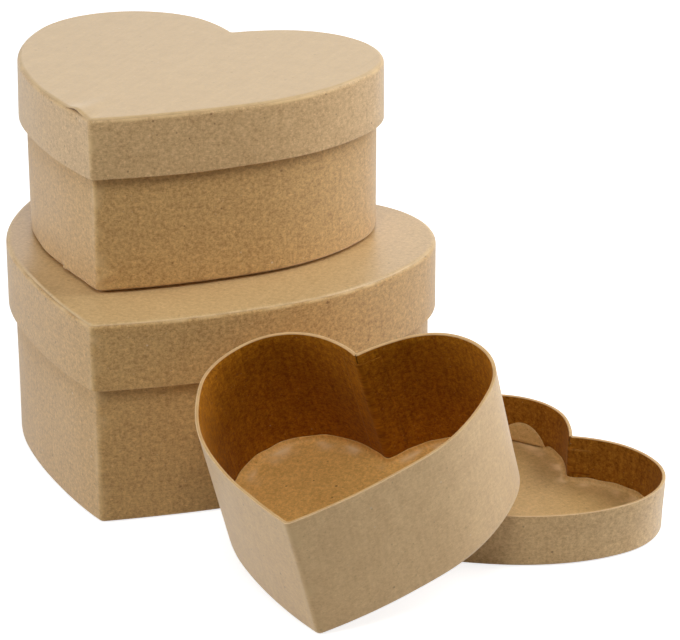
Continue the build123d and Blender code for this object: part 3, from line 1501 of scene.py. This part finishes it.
    def build_tape(self, material: bpy.types.Material) -> bpy.types.Object:
        """Build the paper tape down the inside of the cleft, over the ends of the strip.

        Args:
            material: Its finish.

        Returns:
            The piece.
        """
        stock, ring = self.stock, self.outline.ring
        low, high = stock.stack + stock.lip, self.height - stock.tape_mouth
        heights = [low, *self.uprights(low, high), high]
        profile = [Spot(self.inner_inset(height) - stock.tape, height) for height in heights]
        behind = heights[-2:0:-1]
        profile += [Spot(self.inner_inset(height) + stock.tape, height) for height in behind]
        keep = np.abs(ring.run) > self.outline.half_length - stock.tape_reach
        right = np.flatnonzero(keep & (ring.run > 0))
        left = np.flatnonzero(keep & (ring.run < 0))
        order = np.concatenate([right, left[1:]])
        run = ring.run[order]
        rows = self.rows(profile, self.dents + self.inner_dents).columns(order)
        rows.paper[..., 0] += np.where(run < 0, self.outline.length, 0.0)
        inward = stock.tape_reach - (self.outline.half_length - np.abs(run))
        sunk = 2 * stock.tape * (1 - smooth_step(0, stock.feather_width, inward))
        rows.points[..., :2] += ring.outward[order] * sunk[:, None]
        surface = Surface()
        surface.add_rows(rows, around=False, section=True)
        return self.finish_piece(surface, "joint_tape", material)

    def build_panel(self, material: bpy.types.Material) -> bpy.types.Object:
        """Build the board heart between the cover and the liner, hidden in a whole box.

        Args:
            material: Its finish.

        Returns:
            The piece.
        """
        stock, marks = self.stock, self.marks.panel_edge
        ledge = self.foot + stock.paper + stock.glue
        inner, outer = stock.groove_inset + 2 * stock.paper, stock.lining_inset
        profile = [Spot(inner, stock.panel_level), Spot(inner, ledge, *marks)]
        profile += [Spot(outer, ledge + stock.glue, *marks), Spot(outer, stock.liner_level, *marks)]
        surface = Surface()
        self.add_disc(surface, self.rows(profile).closed)
        return self.finish_piece(surface, self.role.panel, material)

    def build(self, finishes: dict[Paper, bpy.types.Material]) -> list[bpy.types.Object]:
        """Build and dress every piece of the tray.

        Args:
            finishes: The material of each paper.

        Returns:
            The pieces.
        """
        return [
            self.build_wall(finishes[self.inside]),
            self.build_wrap(finishes[self.skin]),
            self.build_cover(finishes[self.face]),
            self.build_liner(finishes[self.lining]),
            self.build_tape(finishes[self.inside]),
            self.build_panel(finishes[Paper.FILLING]),
        ]


# The set


def moved(x: float, y: float, z: float) -> Matrix:
    """A shift in millimetres as a matrix in metres."""
    return Matrix.Translation(Vector((x, y, z)) * MM)


def spun(angle: float, axis: str) -> Matrix:
    """A turn in degrees about an axis."""
    return Matrix.Rotation(math.radians(angle), 4, axis)


# Lumps and tears at the foot of the medium base, by its point and halfway along its left side
CRUMPLED_FOOT = (
    Dent(2.6, 6.0, 2.6, 2.0, -0.9, lean=25),
    Dent(5.6, 3.4, 2.4, 1.4, 0.7, lean=-15),
    Dent(1.0, 3.0, 1.5, 1.5, 0.5),
    Dent(8.0, 6.2, 3.0, 1.6, 0.5, lean=40),
    Dent(4.4, 8.8, 2.0, 1.6, 0.35),
    Dent(-23.8, 1.2, 1.4, 0.9, -0.8),
    Dent(-26.2, 1.4, 1.6, 1.1, 0.5),
    Dent(-41.0, 1.4, 6.0, 1.4, -0.4),
    Dent(-12.0, 1.8, 3.5, 1.4, 0.35),
)

# Dent under the medium lid's lifted edge, on its left side as it stands
PUSHED_EDGE = (Dent(9.0, 1.4, 4.6, 1.7, 0.55),)

# Stretches of the medium lid's cover that have come unstuck, one of them by that dent
MEDIUM_LIFTS = (Lift(9.8, 4.4, 1.2), Lift(26.0, 9.0, 0.15))

# A long stretch of the large lid's cover that stands off a little, left of its point
LARGE_LIFTS = (Lift(38.0, 30.0, 0.5, 3.0),)

# The large lid's mouth, which hangs lower round its right side
LOW_MOUTH = (Dent(-115.0, 0.0, 45.0, 1.0, 1.5),)

# The small lid's mouth, which has spread round its right lobe
FLARED_MOUTH = (Dent(80.0, 18.1, 45.0, 9.0, -1.1),)

# The small lid's lining, loose in its left lobe
LOOSE_LINING = Flap(-120.0, 10.8, 6.4)

# Creases in the small base's wall where it was bent to shape, each along its lean
INNER_CREASES = (
    Dent(-90.8, 24.4, 5.5, 1.1, 0.30, lean=57.7),
    Dent(-92.6, 25.4, 4.5, 1.4, -0.18, lean=57.7),
    Dent(132.0, 39.0, 6.0, 1.6, 0.14, lean=95),
    Dent(129.9, 23.0, 10.0, 1.7, 0.16, lean=90),
    Dent(126.6, 22.0, 9.0, 2.0, -0.12, lean=90),
    Dent(-118.0, 30.0, 14.0, 2.6, 0.16, lean=84),
)

# Where the small base's lining stands off the corner, and a lump in its fold
LIP_BULGES = (
    Dent(-84.0, 0.0, 20.0, 1.0, 2.2),
    Dent(-98.0, 0.0, 2.4, 1.0, -1.2),
)


@dataclass(frozen=True)
class BoxSet:
    """The three boxes as they stand: two stacked and closed, and the small one open."""

    widths: tuple[float, float, float] = (150.0, 127.0, 101.0)
    base_heights: tuple[float, float, float] = (68.2, 58.3, 45.6)
    lid_depths: tuple[float, float, float] = (22.8, 20.5, 18.1)
    lid_clearance: float = 1.05
    medium_at: tuple[float, float] = (-10.5, 11.45)
    medium_yaw: float = -2.0
    small_lid_heading: float = 76.7
    small_lid_yaw: float = -31.8
    set_gap: float = 0.75
    small_base_yaw: float = 4.9
    lean_heading: float = -16.6
    lean_angle: float = 19.0
    lean_gap: float = 0.35
    lean_sideways_share: float = 0.222
    lean_foot_inset: float = 0.4
    spacings: tuple[float, float, float] = (1.3, 1.0, 0.9)
    stock: Stock = STOCK

    @property
    def base_shrink(self) -> float:
        """How far a base's outline lies within its lid's."""
        return self.stock.strip_inside + self.lid_clearance

    def outlines(self, size: Size) -> tuple[HeartOutline, HeartOutline]:
        """Outlines of a box's lid and base."""
        lid = HeartOutline(self.widths[size], spacing=self.spacings[size])
        return lid, replace(lid, shrink=self.base_shrink)

    def small_lid_at(self) -> np.ndarray:
        """Put the small lid's left shoulder beside the large lid's right shoulder.

        Returns:
            Plan place of the small lid's middle.
        """
        large, small = (self.outlines(size)[0].shoulder for size in (Size.LARGE, Size.SMALL))
        apart = large.radius + small.radius + self.set_gap
        shoulder = large.centre + towards(self.small_lid_heading) * apart
        return shoulder - turned(small.centre * [-1, 1], self.small_lid_yaw)

    def small_base_place(self) -> Matrix:
        """Lean the small base on the point of its lid, with its own point on the surface.

        Returns:
            Place of the small base.
        """
        lid, base = self.outlines(Size.SMALL)
        rim = lid.point_touch(self.lean_heading - self.small_lid_yaw, 0)
        rim_at = self.small_lid_at() + turned(rim, self.small_lid_yaw)
        run = (self.lid_depths[Size.SMALL] + self.lean_gap) / math.tan(math.radians(self.lean_angle))
        sideways = towards(self.lean_heading + 90) * (lid.width * self.lean_sideways_share)
        foot_at = rim_at + towards(self.lean_heading) * run + sideways
        foot = base.point_touch(self.lean_heading - self.small_base_yaw, self.lean_foot_inset)
        lean = spun(self.lean_heading, "Z") @ spun(self.lean_angle, "X")
        lean = lean @ spun(self.small_base_yaw - self.lean_heading, "Z")
        return moved(*foot_at, 0) @ lean @ moved(*-foot, 0)

    def trays(self) -> list[Tray]:
        """Make up the trays.

        Returns:
            The six trays, each in its place.
        """
        large_lid, large_base = self.outlines(Size.LARGE)
        medium_lid, medium_base = self.outlines(Size.MEDIUM)
        small_lid, small_base = self.outlines(Size.SMALL)
        large_top = self.base_heights[Size.LARGE] + self.stock.stack
        medium_top = self.base_heights[Size.MEDIUM] + self.stock.stack
        over = spun(180, "Y")
        medium = moved(*self.medium_at, large_top) @ spun(self.medium_yaw, "Z")
        lid_at = moved(*self.small_lid_at(), 0) @ spun(self.small_lid_yaw, "Z")
        return [
            Tray(
                "large_base",
                Role.BASE,
                large_base,
                self.base_heights[Size.LARGE],
                Matrix.Identity(4),
                seed=3,
                skin=Paper.GOLDEN,
                groove=0.15,
                point_shift=-1.3,
            ),
            Tray(
                "large_lid",
                Role.LID,
                large_lid,
                self.lid_depths[Size.LARGE],
                moved(0, 0, large_top) @ over,
                seed=11,
                skin=Paper.GOLDEN,
                face=Paper.ROUGH_FACE,
                point_shift=1.2,
                sags=LOW_MOUTH,
                lifts=LARGE_LIFTS,
            ),
            Tray(
                "medium_base",
                Role.BASE,
                medium_base,
                self.base_heights[Size.MEDIUM],
                medium,
                seed=19,
                row_spacing=1.2,
                skin=Paper.GOLDEN,
                groove=0.85,
                point_shift=1.2,
                dents=CRUMPLED_FOOT,
            ),
            Tray(
                "medium_lid",
                Role.LID,
                medium_lid,
                self.lid_depths[Size.MEDIUM],
                medium @ moved(0, 0, medium_top) @ over,
                seed=27,
                row_spacing=1.2,
                point_shift=-1.8,
                dents=PUSHED_EDGE,
                lifts=MEDIUM_LIFTS,
            ),
            Tray(
                "small_lid",
                Role.LID,
                small_lid,
                self.lid_depths[Size.SMALL],
                lid_at,
                seed=35,
                skin=Paper.MOTTLED,
                inside=Paper.DEEPER_SHADED_INSIDE,
                lining=Paper.SHADED_LINING,
                groove=0.2,
                dents=FLARED_MOUTH,
                flap=LOOSE_LINING,
            ),
            Tray(
                "small_base",
                Role.BASE,
                small_base,
                self.base_heights[Size.SMALL],
                self.small_base_place(),
                seed=43,
                row_spacing=1.0,
                skin=Paper.SMOOTH,
                cleft_lean=2.4,
                inner_dents=INNER_CREASES,
                lip_bulges=LIP_BULGES,
            ),
        ]


# The studio


@dataclass(frozen=True)
class Lamp:
    """A soft square lamp that looks at the boxes from a heading and an elevation."""

    name: str
    heading: float
    elevation: float
    distance: float
    size: float
    power: float


@dataclass(frozen=True)
class Studio:
    """White surface, white surroundings, soft lamps and the camera."""

    target: tuple[float, float, float] = (9.889, 111.932, 6.137)
    azimuth: float = 21.9712
    elevation: float = 21.8525
    distance: float = 1134.43
    lens: float = 159.94
    sensor: float = 36.0
    floor_size: float = 4000.0
    floor_colour: Colour = (0.6, 0.6, 0.6)
    floor_glow: float = 0.8
    floor_fade: tuple[float, float] = (300.0, 900.0)
    lamps: tuple[Lamp, ...] = (
        Lamp("right_lamp", 122.0, 35.0, 1200.0, 900.0, 11.4),
        Lamp("side_lamp", 80.0, 40.0, 800.0, 600.0, 0.7),
        Lamp("left_lamp", -60.0, 20.0, 1200.0, 900.0, 7.4),
        Lamp("front_lamp", 18.0, 52.0, 900.0, 330.0, 2.1),
        Lamp("rear_lamp", 200.0, 24.0, 1200.0, 900.0, 1.44),
    )

    def build(self) -> None:
        """Make everything round the boxes."""
        self.build_floor()
        self.build_world()
        for lamp in self.lamps:
            self.build_lamp(lamp)
        self.build_camera()
        bpy.context.scene.view_settings.view_transform = "Standard"

    def build_floor(self) -> None:
        """Make the white surface, which keeps a faint shadow and is full white further off."""
        half = self.floor_size * MM / 2
        mesh = bpy.data.meshes.new("floor")
        corners = [(-half, -half, 0), (half, -half, 0), (half, half, 0), (-half, half, 0)]
        mesh.from_pydata(corners, [], [(0, 1, 2, 3)])
        floor = bpy.data.objects.new("floor", mesh)
        bpy.context.scene.collection.objects.link(floor)
        made = bpy.data.materials.new("white_surface")
        graph = Graph.emptied(made)
        paper = graph.node("ShaderNodeBsdfDiffuse")
        graph.put(paper.inputs["Color"], (*self.floor_colour, 1))
        away = graph.node("ShaderNodeVectorMath", operation="LENGTH")
        graph.put(away.inputs[0], graph.node("ShaderNodeNewGeometry").outputs["Position"])
        near, far = (reach * MM for reach in self.floor_fade)
        level = graph.spread(away.outputs["Value"], near, far, self.floor_glow, 1.0)
        glow = graph.node("ShaderNodeEmission")
        graph.put(glow.inputs["Strength"], graph.sum("MULTIPLY", self.seen(graph), level))
        both = graph.node("ShaderNodeAddShader")
        graph.put(both.inputs[0], paper.outputs[0])
        graph.put(both.inputs[1], glow.outputs[0])
        output = graph.node("ShaderNodeOutputMaterial")
        graph.put(output.inputs["Surface"], both.outputs[0])
        mesh.materials.append(made)

    def build_world(self) -> None:
        """Make the white surroundings, which are seen but give the boxes no other light."""
        world = bpy.data.worlds.new("white_surroundings")
        bpy.context.scene.world = world
        graph = Graph.emptied(world)
        sky = graph.node("ShaderNodeBackground")
        graph.put(sky.inputs["Color"], (1, 1, 1, 1))
        graph.put(sky.inputs["Strength"], self.seen(graph))
        output = graph.node("ShaderNodeOutputWorld")
        graph.put(output.inputs["Surface"], sky.outputs[0])

    @staticmethod
    def seen(graph: Graph) -> Socket:
        """Tell rays that see the surroundings from the rest of the light.

        Args:
            graph: Graph of the floor or the world.

        Returns:
            1 for the camera, a reflection or glass, and 0 for other light.
        """
        path = graph.node("ShaderNodeLightPath")
        shown = path.outputs["Is Camera Ray"]
        for kind in ("Is Glossy Ray", "Is Transmission Ray"):
            shown = graph.sum("MAXIMUM", shown, path.outputs[kind])
        return shown

    @staticmethod
    def back(azimuth: float, elevation: float) -> Vector:
        """Unit vector from the boxes towards a viewer."""
        plan = towards(azimuth) * math.cos(math.radians(elevation))
        return Vector((*plan, math.sin(math.radians(elevation))))

    def aim(self, name: str, data: bpy.types.ID, back: Vector, distance: float) -> bpy.types.Object:
        """Set up a lamp or a camera that looks at the boxes.

        Args:
            name: Name of the object.
            data: The lamp's or camera's data.
            back: Unit vector from the boxes towards it.
            distance: How far off it is.

        Returns:
            The object.
        """
        made = bpy.data.objects.new(name, data)
        bpy.context.scene.collection.objects.link(made)
        made.location = (Vector(self.target) + back * distance) * MM
        made.rotation_mode = "QUATERNION"
        made.rotation_quaternion = (-back).to_track_quat("-Z", "Y")
        return made

    def build_lamp(self, lamp: Lamp) -> None:
        """Make one lamp.

        Args:
            lamp: The lamp.
        """
        data = bpy.data.lights.new(lamp.name, "AREA")
        data.size = lamp.size * MM
        data.energy = lamp.power
        self.aim(lamp.name, data, self.back(lamp.heading, lamp.elevation), lamp.distance)

    def build_camera(self) -> None:
        """Make the camera at the photograph's viewing angle."""
        data = bpy.data.cameras.new("camera")
        data.sensor_width = self.sensor
        data.sensor_fit = "HORIZONTAL"
        data.lens = self.lens
        data.clip_end = self.floor_size * MM * 2
        back = self.back(self.azimuth, self.elevation)
        bpy.context.scene.camera = self.aim("camera", data, back, self.distance)


def main() -> None:
    """Build the boxes and the studio, in order."""
    logging.basicConfig(level=logging.INFO, format="%(message)s")
    effects = Effects(Fibres().build(), Flecks().build(), RubbedEdges().build())
    finishes = {paper: finish.material(paper.value, effects) for paper, finish in FINISHES.items()}
    for tray in BoxSet().trays():
        for piece in tray.build(finishes):
            log.info("%s: %d faces", piece.name, len(piece.data.polygons))
    Studio().build()


if __name__ == "__main__":
    main()
